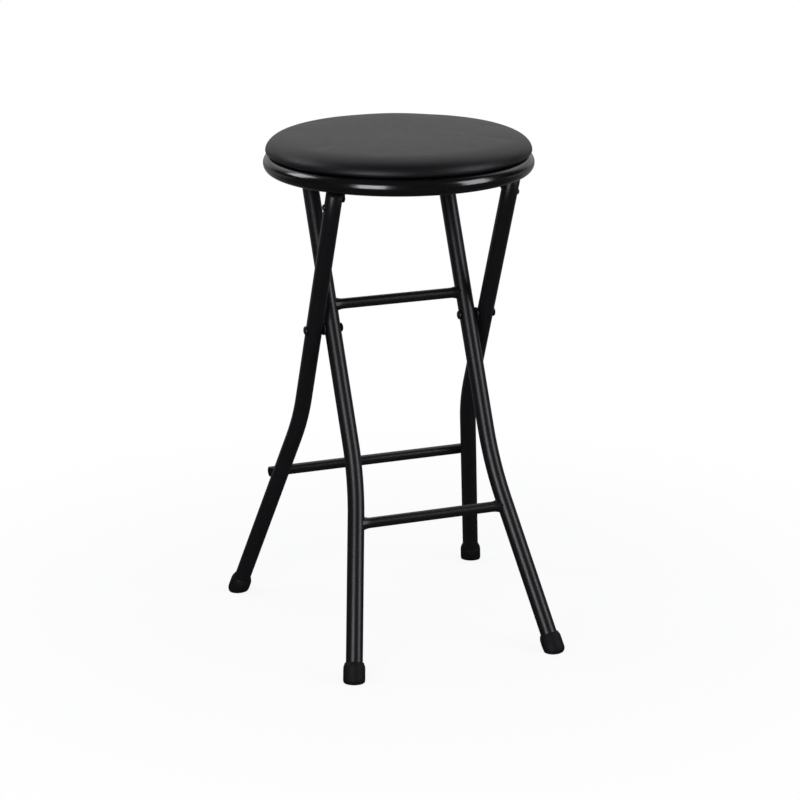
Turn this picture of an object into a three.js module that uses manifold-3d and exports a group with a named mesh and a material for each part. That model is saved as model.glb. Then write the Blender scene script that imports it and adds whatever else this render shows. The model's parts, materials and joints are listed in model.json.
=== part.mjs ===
// A folding bar stool: a round padded seat on two steel tube frames that cross like scissors.
// Millimetres. X runs from the left legs to the right ones, Y from the front to the back, Z up.
import * as THREE from "three";
import { mergeVertices } from "three/addons/utils/BufferGeometryUtils.js";
import Module from "manifold-3d";

const wasm = await Module();
wasm.setup();

// Side view: places are measured from the seat's middle, heights from the floor
const PAN_UNDERSIDE_HEIGHT = 571;
const HINGE_BELOW_PAN = 18;
const HINGE_AHEAD = 78.4;
const TOP_RUNG_BELOW_PAN = 13;
const TOP_RUNG_BEHIND = 78.7;
const PIVOT_HEIGHT = 379.3;
const PIVOT_AHEAD = 5.1;
const UPPER_RUNG_ABOVE_PIVOT = 25.5;
const FRONT_RUNG_HEIGHT = 165.3;
const REAR_RUNG_HEIGHT = 172.9;

// Tubes and rungs
const TUBE_DIAMETER = 20;
const TUBE_WALL = 1.2;
const RUNG_DIAMETER = 12.7;
const RUNG_WALL = 1.2;
const WELD_DIAMETER = 15.6;
const WELD_LENGTH = 8;
const REAR_RUNG_SET_IN = 0.9;
const REAR_RUNG_INSET = 2.9;
const LEG_OVERHANG = 8;

// Front view: the upper legs stand upright, and each leg is bent outwards below
const INNER_LEG_SET_IN = 73.6;
const FRAME_GAP = 3.4;
const INNER_BEND_HEIGHT = 234.7;
const INNER_BEND_RADIUS = 509;
const INNER_SPLAY_DEGREES = 10.04;
const OUTER_BEND_HEIGHT = 275.5;
const OUTER_BEND_RADIUS = 330;
const OUTER_SPLAY_DEGREES = 10.53;

// Rubber feet
const FOOT_DIAMETER = 26;
const FOOT_TOP_DIAMETER = 24.4;
const FOOT_LENGTH = 27.8;
const FOOT_SHOULDER = 5;
const SOLE_THICKNESS = 2;
const FOOT_TRIM = 4.5;
const FOOT_ROUNDING = 4;
const FOOT_LIP = 1;

// Fasteners
const PIVOT_PIN_DIAMETER = 6.35;
const PIVOT_HEAD_DIAMETER = 11;
const PIVOT_HEAD_HEIGHT = 2.6;
const SPACER_DIAMETER = 15;
const HINGE_PIN_DIAMETER = 5;
const HINGE_HEAD_DIAMETER = 8.4;
const HINGE_HEAD_HEIGHT = 0.8;
const PLUG_PIN_DIAMETER = 4;
const PLUG_HEAD_DIAMETER = 7.6;
const PLUG_HEAD_HEIGHT = 2.1;
const PLUG_PIN_BELOW_HINGE = 11.2;
const SCREW_DIAMETER = 4;
const SCREW_LENGTH = 11;
const SCREW_HEAD_DIAMETER = 8;
const SCREW_HEAD_HEIGHT = 2.4;

// How a fastener's head is domed
const HEAD_RIM_SHARE = 0.35;
const HEAD_CROWN_SHARE = 0.5;

// Plugs in the upper tube ends
const HINGE_PLUG_LENGTH = 26;
const END_PLUG_LENGTH = 12;
const PLUG_FLANGE = 1.5;

// Seat
const SEAT_RADIUS = 160.7;
const RIM_BELOW_PAN = 7.6;
const RIM_ROLL_RADIUS = 10.8;
const PAN_THICKNESS = 1.2;
const PAN_WALL_INSET = 12.4;
const HEM_WIDTH = 3.4;
const BOARD_THICKNESS = 9;
const COVER_THICKNESS = 1.1;
const COVER_SIDE_INSET = 3;
const COVER_GROOVE_DEPTH = 3.5;
const COVER_TUCK_RISE = 1.6;
const COVER_EDGE_WIDTH = 40.6;
const COVER_EDGE_RISE = 22.9;
const COVER_CROWN = 2;
const COVER_SKIRT = 11;

// Brackets under the seat
const EAR_THICKNESS = 1.6;
const EAR_RADIUS = 5.2;
const EAR_BASE_BEHIND = 21;
const HINGE_FLANGE_WIDTH = 24;
const HINGE_FLANGE_LENGTH = 37;
const HINGE_FLANGE_AHEAD = 14;
const HINGE_SCREW_SPACING = 20;
const FLANGE_THICKNESS = 2;
const SADDLE_SET_IN = 37.1;
const SADDLE_THICKNESS = 2.5;
const SADDLE_HOOK_DEPTH = 7;
const SADDLE_HOOK_WIDTH = 5.5;
const SADDLE_AHEAD = 15;
const SADDLE_SLOPE = 3;
const SADDLE_FLANGE_WIDTH = 20;
const SADDLE_SCREW_SPACING = 15;
const SADDLE_NOTCH_DEGREES = 135;

// Clearances and cutting
const GAP = 0.3;
const OVERRUN = 20;
const MERGE_DISTANCE = 1e-4;

// How finely round shapes are faceted
const TUBE_SIDES = 20;
const RUNG_SIDES = 16;
const PIN_SIDES = 12;
const FOOT_SIDES = 20;
const SEAT_SIDES = 48;
const BEND_STEPS = 5;
const ARC_STEPS = 6;
const ROLL_STEPS = 8;
const EDGE_STEPS = 7;
const LINING_STEPS = 5;
const CROWN_STEPS = 3;

// Places that follow from the sizes above
const TUBE_RADIUS = TUBE_DIAMETER / 2;
const RUNG_RADIUS = RUNG_DIAMETER / 2;
const HINGE_HEIGHT = PAN_UNDERSIDE_HEIGHT - HINGE_BELOW_PAN;
const TOP_RUNG_HEIGHT = PAN_UNDERSIDE_HEIGHT - TOP_RUNG_BELOW_PAN;
const UPPER_RUNG_HEIGHT = PIVOT_HEIGHT + UPPER_RUNG_ABOVE_PIVOT;
const RIM_BOTTOM_HEIGHT = PAN_UNDERSIDE_HEIGHT - RIM_BELOW_PAN;
const INNER_HALF_WIDTH = SEAT_RADIUS - INNER_LEG_SET_IN;
const SADDLE_HALF_SPACING = INNER_HALF_WIDTH - SADDLE_SET_IN;
const OUTER_HALF_WIDTH = INNER_HALF_WIDTH + TUBE_DIAMETER + FRAME_GAP;
const INNER_LEAN = Math.atan2(TOP_RUNG_BEHIND + PIVOT_AHEAD, TOP_RUNG_HEIGHT - PIVOT_HEIGHT);
const OUTER_LEAN = Math.atan2(HINGE_AHEAD - PIVOT_AHEAD, HINGE_HEIGHT - PIVOT_HEIGHT);
const INNER_FOOT_AHEAD = PIVOT_HEIGHT * Math.tan(INNER_LEAN) + PIVOT_AHEAD;
const OUTER_FOOT_BEHIND = PIVOT_HEIGHT * Math.tan(OUTER_LEAN) - PIVOT_AHEAD;
const alongInner = (height) => height / Math.cos(INNER_LEAN);
const alongOuter = (height) => height / Math.cos(OUTER_LEAN);

const innerFrame = {
  halfWidth: INNER_HALF_WIDTH,
  bendHeight: INNER_BEND_HEIGHT,
  bendRadius: INNER_BEND_RADIUS,
  splay: THREE.MathUtils.degToRad(INNER_SPLAY_DEGREES),
  lean: -INNER_LEAN,
  footY: -INNER_FOOT_AHEAD,
  top: alongInner(TOP_RUNG_HEIGHT) + LEG_OVERHANG,
  pivot: alongInner(PIVOT_HEIGHT),
};

const outerFrame = {
  halfWidth: OUTER_HALF_WIDTH,
  bendHeight: OUTER_BEND_HEIGHT,
  bendRadius: OUTER_BEND_RADIUS,
  splay: THREE.MathUtils.degToRad(OUTER_SPLAY_DEGREES),
  lean: OUTER_LEAN,
  footY: OUTER_FOOT_BEHIND,
  top: alongOuter(HINGE_HEIGHT) + LEG_OVERHANG,
  pivot: alongOuter(PIVOT_HEIGHT),
};

// Materials
const steelFinish = { color: 0x0d0d0f, metalness: 0.3, roughness: 0.32 };
const powderCoat = new THREE.MeshStandardMaterial(steelFinish);
const rimGloss = new THREE.MeshStandardMaterial({ color: 0x08080a, metalness: 0.3, roughness: 0.2 });
const vinyl = new THREE.MeshStandardMaterial({ color: 0x1b1b1d, metalness: 0, roughness: 0.5 });
const rubber = new THREE.MeshStandardMaterial({ color: 0x111112, metalness: 0, roughness: 0.8 });
const plastic = new THREE.MeshStandardMaterial({ color: 0x141415, metalness: 0, roughness: 0.6 });
const plywood = new THREE.MeshStandardMaterial({ color: 0xb08a5a, metalness: 0, roughness: 0.8 });
const foam = new THREE.MeshStandardMaterial({ color: 0xd8d2b8, metalness: 0, roughness: 0.95 });
const rivetSteel = new THREE.MeshStandardMaterial({ color: 0x151517, metalness: 0.6, roughness: 0.35 });
const zinc = new THREE.MeshStandardMaterial({ color: 0x9a9a9c, metalness: 0.9, roughness: 0.35 });

// Turns a closed geometry into a solid that can be cut and joined
function toSolid(geometry) {
  const bare = geometry.clone();
  bare.deleteAttribute("normal");
  bare.deleteAttribute("uv");
  const merged = mergeVertices(bare, MERGE_DISTANCE);
  const vertProperties = new Float32Array(merged.attributes.position.array);
  const triVerts = new Uint32Array(merged.index.array);
  return new wasm.Manifold(new wasm.Mesh({ numProp: 3, vertProperties, triVerts }));
}

// Turns a solid back into a geometry
function toGeometry(solid) {
  const mesh = solid.getMesh();
  const geometry = new THREE.BufferGeometry();
  geometry.setAttribute("position", new THREE.BufferAttribute(new Float32Array(mesh.vertProperties), 3));
  geometry.setIndex(new THREE.BufferAttribute(new Uint32Array(mesh.triVerts), 1));
  geometry.computeVertexNormals();
  return geometry;
}

// Cuts every tool out of a geometry
function cut(geometry, tools) {
  let solid = toSolid(geometry);
  for (const tool of tools) {
    solid = solid.subtract(toSolid(tool));
  }
  return toGeometry(solid);
}

// Joins geometries that overlap
function join(geometries) {
  let solid = toSolid(geometries[0]);
  for (const geometry of geometries.slice(1)) {
    solid = solid.add(toSolid(geometry));
  }
  return toGeometry(solid);
}

// A solid of revolution about X, from [radius, x] pairs
function turnedAboutX(profile, sides) {
  const points = profile.map(([radius, x]) => new THREE.Vector2(radius, x));
  return new THREE.LatheGeometry(points, sides).rotateZ(-Math.PI / 2);
}

// A solid of revolution about Z, from [radius, z] pairs
function turnedAboutZ(profile, sides) {
  const points = profile.map(([radius, z]) => new THREE.Vector2(radius, z));
  return new THREE.LatheGeometry(points, sides).rotateX(Math.PI / 2);
}

// A plain pin along X between two places
function pinAlongX(radius, from, to) {
  return turnedAboutX([[0, from], [radius, from], [radius, to], [0, to]], PIN_SIDES);
}

// A plain pin along Z between two heights
function pinAlongZ(radius, from, to) {
  return turnedAboutZ([[0, from], [radius, from], [radius, to], [0, to]], PIN_SIDES);
}

// The points of an arc, from one angle to another
function arcPoints(centre, radiusAcross, radiusUp, from, to, steps) {
  const points = [];
  for (let step = 0; step <= steps; step += 1) {
    const angle = from + ((to - from) * step) / steps;
    points.push([centre[0] + radiusAcross * Math.cos(angle), centre[1] + radiusUp * Math.sin(angle)]);
  }
  return points;
}

// A flat plate whose outline lies in the YZ plane, from one X to another
function sidePlate(outline, from, to) {
  const shape = new THREE.Shape(outline.map(([y, z]) => new THREE.Vector2(y, z)));
  const plate = new THREE.ExtrudeGeometry(shape, { depth: to - from, bevelEnabled: false });
  const turn = new THREE.Matrix4().makeBasis(
    new THREE.Vector3(0, 1, 0),
    new THREE.Vector3(0, 0, 1),
    new THREE.Vector3(1, 0, 0),
  );
  return plate.applyMatrix4(turn).translate(from, 0, 0);
}

// A box between two corners
function boxBetween(low, high) {
  const size = high.map((value, axis) => value - low[axis]);
  const box = new THREE.BoxGeometry(size[0], size[1], size[2]);
  return box.translate(low[0] + size[0] / 2, low[1] + size[1] / 2, low[2] + size[2] / 2);
}

// A path that carries one tube ring at each of its stations
class StationPath extends THREE.Curve {
  constructor(stations) {
    super();
    this.stations = stations;
  }

  getUtoTmapping(u) {
    return u;
  }

  getPoint(t, target = new THREE.Vector3()) {
    const place = t * (this.stations.length - 1);
    const index = Math.min(Math.floor(place), this.stations.length - 2);
    const start = this.stations[index].point;
    const end = this.stations[index + 1].point;
    return target.lerpVectors(start, end, place - index);
  }

  getTangent(t, target = new THREE.Vector3()) {
    const index = Math.round(t * (this.stations.length - 1));
    return target.copy(this.stations[index].tangent);
  }
}

// How far out a leg's centre line lies at the floor, and at any place along its frame
function footHalfWidth(frame) {
  return frame.halfWidth + frame.bendHeight * Math.tan(frame.splay);
}

function halfWidthAt(frame, along) {
  const tangent = frame.bendRadius * Math.tan(frame.splay / 2);
  const bendTop = frame.bendHeight + tangent;
  const bendBottom = frame.bendHeight - tangent * Math.cos(frame.splay);
  if (along >= bendTop) {
    return frame.halfWidth;
  }
  if (along <= bendBottom) {
    return footHalfWidth(frame) - along * Math.tan(frame.splay);
  }
  const angle = Math.asin((bendTop - along) / frame.bendRadius);
  return frame.halfWidth + frame.bendRadius * (1 - Math.cos(angle));
}

// Where a leg's tube starts, so that the sole under its lowest edge keeps its thickness
function tubeStart(frame) {
  const tilt = Math.acos(Math.cos(frame.lean) * Math.cos(frame.splay));
  return (TUBE_RADIUS * Math.sin(tilt) + SOLE_THICKNESS) / Math.cos(tilt);
}

// A leg's centre line in its frame: up the splayed part, round the bend, and up to the top
function legPath(frame, side, bottom, top) {
  const { halfWidth, bendHeight, bendRadius, splay } = frame;
  const tangent = bendRadius * Math.tan(splay / 2);
  const station = (x, z, angle) => ({
    point: new THREE.Vector3(side * x, 0, z),
    tangent: new THREE.Vector3(-side * Math.sin(angle), 0, Math.cos(angle)),
  });
  const foot = [footHalfWidth(frame) - bottom * Math.sin(splay), bottom * Math.cos(splay)];
  const stations = [station(foot[0], foot[1], splay)];
  for (let step = BEND_STEPS; step >= 0; step -= 1) {
    const angle = (splay * step) / BEND_STEPS;
    const x = halfWidth + bendRadius * (1 - Math.cos(angle));
    const z = bendHeight + tangent - bendRadius * Math.sin(angle);
    stations.push(station(x, z, angle));
  }
  stations.push(station(halfWidth, top, 0));
  return new StationPath(stations);
}

function circle(radius, sides) {
  const points = [];
  for (let side = 0; side < sides; side += 1) {
    const angle = (2 * Math.PI * side) / sides;
    points.push(new THREE.Vector2(radius * Math.cos(angle), radius * Math.sin(angle)));
  }
  return points;
}

// A bar or, with a bore, a tube along a leg's path
function sweptLeg(frame, side, bottom, top, radius, bore) {
  const section = new THREE.Shape(circle(radius, TUBE_SIDES));
  if (bore > 0) {
    section.holes.push(new THREE.Path(circle(bore, TUBE_SIDES)));
  }
  const extrudePath = legPath(frame, side, bottom, top);
  const steps = extrudePath.stations.length - 1;
  return new THREE.ExtrudeGeometry(section, { steps, extrudePath, bevelEnabled: false });
}

// The bar that clears a leg: what is welded to the leg is cut back by it
function legClearance(frame, side) {
  return sweptLeg(frame, side, -OVERRUN, frame.top + OVERRUN, TUBE_RADIUS + GAP, 0);
}

function named(name, geometry, material) {
  const mesh = new THREE.Mesh(geometry, material);
  mesh.name = name;
  return mesh;
}

const SIDES = [["left", -1], ["right", 1]];

// One leg tube, with the holes for its pins; a blind one goes through the inner wall alone
function makeLeg(frame, side, holes) {
  const bore = TUBE_RADIUS - TUBE_WALL;
  const leg = sweptLeg(frame, side, tubeStart(frame), frame.top, TUBE_RADIUS, bore);
  const near = frame.halfWidth - TUBE_RADIUS - OVERRUN;
  const far = frame.halfWidth + TUBE_RADIUS + OVERRUN;
  const drills = holes.map(({ radius, along, blind }) => {
    const drill = pinAlongX(radius + GAP, near, blind ? frame.halfWidth : far);
    return drill.translate(0, 0, along).applyMatrix4(sideMatrix(side));
  });
  return cut(leg, drills);
}

// Turns a shape made for the right side into one for the left side
function sideMatrix(side) {
  return side > 0 ? new THREE.Matrix4() : new THREE.Matrix4().makeRotationZ(Math.PI);
}

// A rung between two legs, flared by its weld at each end and cut back by the legs
function makeRung(frame, along) {
  const end = halfWidthAt(frame, along);
  const weldStart = end - TUBE_RADIUS - WELD_LENGTH;
  const weldFull = end - TUBE_RADIUS;
  const weldRadius = WELD_DIAMETER / 2;
  const bore = RUNG_RADIUS - RUNG_WALL;
  const rung = turnedAboutX([
    [bore, -end],
    [weldRadius, -end],
    [weldRadius, -weldFull],
    [RUNG_RADIUS, -weldStart],
    [RUNG_RADIUS, weldStart],
    [weldRadius, weldFull],
    [weldRadius, end],
    [bore, end],
    [bore, -end],
  ], RUNG_SIDES);
  return cut(rung.translate(0, 0, along), SIDES.map(([, side]) => legClearance(frame, side)));
}

// The rear rung lies across the backs of the outer legs and is let into them a little
function makeRearRung() {
  const leanOffset = TUBE_RADIUS + RUNG_RADIUS - REAR_RUNG_SET_IN;
  const along = (REAR_RUNG_HEIGHT - leanOffset * Math.sin(OUTER_LEAN)) / Math.cos(OUTER_LEAN);
  const end = halfWidthAt(outerFrame, along) + TUBE_RADIUS - REAR_RUNG_INSET;
  const bore = RUNG_RADIUS - RUNG_WALL;
  const rung = turnedAboutX([
    [bore, -end],
    [RUNG_RADIUS - RUNG_WALL / 2, -end],
    [RUNG_RADIUS, RUNG_WALL - end],
    [RUNG_RADIUS, end - RUNG_WALL],
    [RUNG_RADIUS - RUNG_WALL / 2, end],
    [bore, end],
    [bore, -end],
  ], RUNG_SIDES);
  const placed = rung.translate(0, leanOffset, along);
  return cut(placed, SIDES.map(([, side]) => legClearance(outerFrame, side)));
}

// A rubber foot, pushed over the tube's end, with its lower end trimmed level by the floor
function makeFoot(frame, side) {
  const bottom = -FOOT_TRIM;
  const top = bottom + FOOT_LENGTH;
  const outside = FOOT_DIAMETER / 2;
  const topRadius = FOOT_TOP_DIAMETER / 2;
  const bore = TUBE_RADIUS + GAP;
  const rounding = arcPoints(
    [outside - FOOT_ROUNDING, bottom + FOOT_ROUNDING],
    FOOT_ROUNDING,
    FOOT_ROUNDING,
    -Math.PI / 2,
    0,
    ARC_STEPS / 2,
  );
  const foot = turnedAboutZ([
    [0, bottom],
    ...rounding,
    [outside, top - FOOT_SHOULDER],
    [topRadius, top - FOOT_SHOULDER / 2],
    [bore + FOOT_LIP, top],
    [bore, top],
    [bore, tubeStart(frame) - GAP],
    [0, tubeStart(frame) - GAP],
  ], FOOT_SIDES);
  const placed = foot.rotateY(-side * frame.splay).translate(side * footHalfWidth(frame), 0, 0);
  const reach = footHalfWidth(frame) + FOOT_DIAMETER + OVERRUN;
  const floor = boxBetween([-reach, -reach, -reach], [reach, reach, 0]);
  return cut(placed, [floor.rotateX(-frame.lean)]);
}

// A headed pin along X: a shank with a domed or flat head at each end
function makeRivet(radius, headRadius, headHeight, from, to) {
  const rimHeight = headHeight * HEAD_RIM_SHARE;
  const crownRadius = headRadius * HEAD_CROWN_SHARE;
  return turnedAboutX([
    [0, from - headHeight],
    [crownRadius, from - headHeight],
    [headRadius, from - rimHeight],
    [headRadius, from],
    [radius, from],
    [radius, to],
    [headRadius, to],
    [headRadius, to + rimHeight],
    [crownRadius, to + headHeight],
    [0, to + headHeight],
  ], PIN_SIDES);
}

function makeSpacer() {
  const from = INNER_HALF_WIDTH + TUBE_RADIUS + GAP;
  const to = OUTER_HALF_WIDTH - TUBE_RADIUS - GAP;
  const bore = PIVOT_PIN_DIAMETER / 2 + GAP;
  const outside = SPACER_DIAMETER / 2;
  return turnedAboutX([
    [bore, from],
    [outside, from],
    [outside, to],
    [bore, to],
    [bore, from],
  ], RUNG_SIDES);
}

// A plug in a tube's upper end, with a thin flange over the tube's edge
function makePlug(frame, length) {
  const shank = TUBE_RADIUS - TUBE_WALL - GAP;
  const plug = turnedAboutZ([
    [0, frame.top - length],
    [shank, frame.top - length],
    [shank, frame.top + GAP],
    [TUBE_RADIUS, frame.top + GAP],
    [TUBE_RADIUS, frame.top + GAP + PLUG_FLANGE / 2],
    [shank, frame.top + GAP + PLUG_FLANGE],
    [0, frame.top + GAP + PLUG_FLANGE],
  ], RUNG_SIDES);
  return plug.translate(frame.halfWidth, 0, 0);
}

function makeInnerFrame() {
  const group = new THREE.Group();
  group.position.y = innerFrame.footY;
  group.rotation.x = innerFrame.lean;
  const pin = PIVOT_PIN_DIAMETER / 2;
  const pinFrom = INNER_HALF_WIDTH - TUBE_RADIUS - GAP;
  const pinTo = OUTER_HALF_WIDTH + TUBE_RADIUS + GAP;
  for (const [label, side] of SIDES) {
    const turn = sideMatrix(side);
    const holes = [{ radius: pin, along: innerFrame.pivot }];
    group.add(named(`inner_leg_${label}`, makeLeg(innerFrame, side, holes), powderCoat));
    group.add(named(`inner_foot_${label}`, makeFoot(innerFrame, side), rubber));
    const plug = makePlug(innerFrame, END_PLUG_LENGTH).applyMatrix4(turn);
    group.add(named(`inner_end_plug_${label}`, plug, plastic));
    const headRadius = PIVOT_HEAD_DIAMETER / 2;
    const rivet = makeRivet(pin, headRadius, PIVOT_HEAD_HEIGHT, pinFrom, pinTo);
    rivet.translate(0, 0, innerFrame.pivot).applyMatrix4(turn);
    group.add(named(`pivot_rivet_${label}`, rivet, rivetSteel));
    const spacer = makeSpacer().translate(0, 0, innerFrame.pivot).applyMatrix4(turn);
    group.add(named(`pivot_spacer_${label}`, spacer, plastic));
  }
  group.add(named("inner_top_rung", makeRung(innerFrame, alongInner(TOP_RUNG_HEIGHT)), powderCoat));
  group.add(named("inner_upper_rung", makeRung(innerFrame, alongInner(UPPER_RUNG_HEIGHT)), powderCoat));
  group.add(named("inner_front_rung", makeRung(innerFrame, alongInner(FRONT_RUNG_HEIGHT)), powderCoat));
  return group;
}

function makeOuterFrame() {
  const group = new THREE.Group();
  group.position.y = outerFrame.footY;
  group.rotation.x = outerFrame.lean;
  const hingeAlong = alongOuter(HINGE_HEIGHT);
  const plugPinAlong = hingeAlong - PLUG_PIN_BELOW_HINGE;
  const holes = [
    { radius: PIVOT_PIN_DIAMETER / 2, along: outerFrame.pivot },
    { radius: HINGE_PIN_DIAMETER / 2, along: hingeAlong, blind: true },
    { radius: PLUG_PIN_DIAMETER / 2, along: plugPinAlong },
  ];
  const inside = OUTER_HALF_WIDTH - TUBE_RADIUS;
  const outside = OUTER_HALF_WIDTH + TUBE_RADIUS;
  const earInside = inside - GAP - EAR_THICKNESS;
  for (const [label, side] of SIDES) {
    const turn = sideMatrix(side);
    group.add(named(`outer_leg_${label}`, makeLeg(outerFrame, side, holes), powderCoat));
    group.add(named(`outer_foot_${label}`, makeFoot(outerFrame, side), rubber));
    const plugHoles = holes.slice(1).map(({ radius, along }) => {
      return pinAlongX(radius + GAP, inside - OVERRUN, outside + OVERRUN).translate(0, 0, along);
    });
    const plug = cut(makePlug(outerFrame, HINGE_PLUG_LENGTH), plugHoles).applyMatrix4(turn);
    group.add(named(`hinge_plug_${label}`, plug, plastic));
    const hingeEnds = [2 * TUBE_WALL + GAP - outside, GAP - earInside];
    const hinge = makeHeadedPin(HINGE_PIN_DIAMETER, HINGE_HEAD_DIAMETER, HINGE_HEAD_HEIGHT, ...hingeEnds);
    hinge.rotateZ(Math.PI).translate(0, 0, hingeAlong).applyMatrix4(turn);
    group.add(named(`hinge_rivet_${label}`, hinge, rivetSteel));
    const plugEnds = [inside + TUBE_WALL, outside + GAP];
    const plugPin = makeHeadedPin(PLUG_PIN_DIAMETER, PLUG_HEAD_DIAMETER, PLUG_HEAD_HEIGHT, ...plugEnds);
    plugPin.translate(0, 0, plugPinAlong).applyMatrix4(turn);
    group.add(named(`plug_rivet_${label}`, plugPin, rivetSteel));
  }
  group.add(named("outer_rear_rung", makeRearRung(), powderCoat));
  return group;
}

// A rivet with one domed head, which bears where its shank ends
function makeHeadedPin(diameter, headDiameter, headHeight, from, to) {
  const radius = diameter / 2;
  const headRadius = headDiameter / 2;
  return turnedAboutX([
    [0, from],
    [radius, from],
    [radius, to],
    [headRadius, to],
    [headRadius, to + headHeight * HEAD_RIM_SHARE],
    [headRadius * HEAD_CROWN_SHARE, to + headHeight],
    [0, to + headHeight],
  ], PIN_SIDES);
}

// Where the seat's screws stand, and at what height their heads bear
function screwPlaces() {
  const places = [];
  const earOutside = OUTER_HALF_WIDTH - TUBE_RADIUS - GAP;
  const hingeMiddle = -HINGE_AHEAD - HINGE_FLANGE_AHEAD + HINGE_FLANGE_LENGTH / 2;
  for (const [label, side] of SIDES) {
    for (const [end, sign] of [["front", -1], ["rear", 1]]) {
      places.push({
        name: `hinge_screw_${label}_${end}`,
        x: side * (earOutside - HINGE_FLANGE_WIDTH / 2 - EAR_THICKNESS),
        y: hingeMiddle + (sign * HINGE_SCREW_SPACING) / 2,
      });
      places.push({
        name: `saddle_screw_${label}_${end}`,
        x: side * (SADDLE_HALF_SPACING - SADDLE_FLANGE_WIDTH / 2 - SADDLE_THICKNESS / 2),
        y: TOP_RUNG_BEHIND + (sign * SADDLE_SCREW_SPACING) / 2,
      });
    }
  }
  return places;
}

function screwHoles(from, to) {
  const radius = SCREW_DIAMETER / 2 + GAP;
  return screwPlaces().map(({ x, y }) => pinAlongZ(radius, from, to).translate(x, y, 0));
}

// The stamped bracket that hinges the seat on an outer leg: an ear, and a flange under the pan
function makeHingeBracket(side) {
  const underside = PAN_UNDERSIDE_HEIGHT - GAP;
  const outside = OUTER_HALF_WIDTH - TUBE_RADIUS - GAP;
  const front = -HINGE_AHEAD - HINGE_FLANGE_AHEAD;
  const ear = sidePlate([
    ...arcPoints([-HINGE_AHEAD, HINGE_HEIGHT], EAR_RADIUS, EAR_RADIUS, -Math.PI, 0, ARC_STEPS),
    [-HINGE_AHEAD + EAR_BASE_BEHIND, underside],
    [-HINGE_AHEAD - EAR_RADIUS, underside],
  ], outside - EAR_THICKNESS, outside);
  const flange = boxBetween(
    [outside - HINGE_FLANGE_WIDTH, front, underside - FLANGE_THICKNESS],
    [outside, front + HINGE_FLANGE_LENGTH, underside],
  );
  const bracket = join([ear, flange]).applyMatrix4(mirrorMatrix(side));
  const upright = side > 0 ? bracket : flipped(bracket);
  const reach = outside + OVERRUN;
  const pinHole = pinAlongX(HINGE_PIN_DIAMETER / 2 + GAP, -reach, reach);
  pinHole.translate(0, -HINGE_AHEAD, HINGE_HEIGHT);
  return cut(upright, [pinHole, ...screwHoles(underside - OVERRUN, underside + OVERRUN)]);
}

// The stamped saddle that drops over the inner frame's top rung and hooks behind it
function makeSaddle(side) {
  const underside = PAN_UNDERSIDE_HEIGHT - GAP;
  const notch = RUNG_RADIUS + GAP;
  const open = THREE.MathUtils.degToRad(SADDLE_NOTCH_DEGREES);
  const [y, z] = [TOP_RUNG_BEHIND, TOP_RUNG_HEIGHT];
  const front = y - SADDLE_AHEAD;
  const back = y + notch + SADDLE_HOOK_WIDTH;
  const lip = z + notch * Math.sin(open);
  const web = sidePlate([
    [y + notch, z - SADDLE_HOOK_DEPTH],
    [back - SADDLE_SLOPE, z - SADDLE_HOOK_DEPTH],
    [back, z],
    [back, underside],
    [front, underside],
    [front + SADDLE_SLOPE, lip],
    ...arcPoints([y, z], notch, notch, open, 0, ARC_STEPS),
  ].reverse(), SADDLE_HALF_SPACING - SADDLE_THICKNESS / 2, SADDLE_HALF_SPACING + SADDLE_THICKNESS / 2);
  const outside = SADDLE_HALF_SPACING + SADDLE_THICKNESS / 2;
  const flange = boxBetween(
    [outside - SADDLE_FLANGE_WIDTH - SADDLE_THICKNESS, front, underside - FLANGE_THICKNESS],
    [outside, back, underside],
  );
  const bracket = join([web, flange]).applyMatrix4(mirrorMatrix(side));
  const upright = side > 0 ? bracket : flipped(bracket);
  return cut(upright, screwHoles(underside - OVERRUN, underside + OVERRUN));
}

function mirrorMatrix(side) {
  return new THREE.Matrix4().makeScale(side, 1, 1);
}

// Turns each face of a mirrored geometry over, so that it faces out again
function flipped(geometry) {
  const index = geometry.index.array;
  for (let corner = 0; corner < index.length; corner += 3) {
    [index[corner], index[corner + 1]] = [index[corner + 1], index[corner]];
  }
  return geometry;
}

function makeScrew() {
  const bearing = PAN_UNDERSIDE_HEIGHT - 2 * GAP - FLANGE_THICKNESS;
  const headRadius = SCREW_HEAD_DIAMETER / 2;
  const radius = SCREW_DIAMETER / 2;
  return turnedAboutZ([
    [0, bearing - SCREW_HEAD_HEIGHT],
    [headRadius * HEAD_CROWN_SHARE, bearing - SCREW_HEAD_HEIGHT],
    [headRadius, bearing - SCREW_HEAD_HEIGHT * HEAD_RIM_SHARE],
    [headRadius, bearing],
    [radius, bearing],
    [radius, bearing + SCREW_LENGTH - radius],
    [0, bearing + SCREW_LENGTH],
  ], PIN_SIDES);
}

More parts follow.
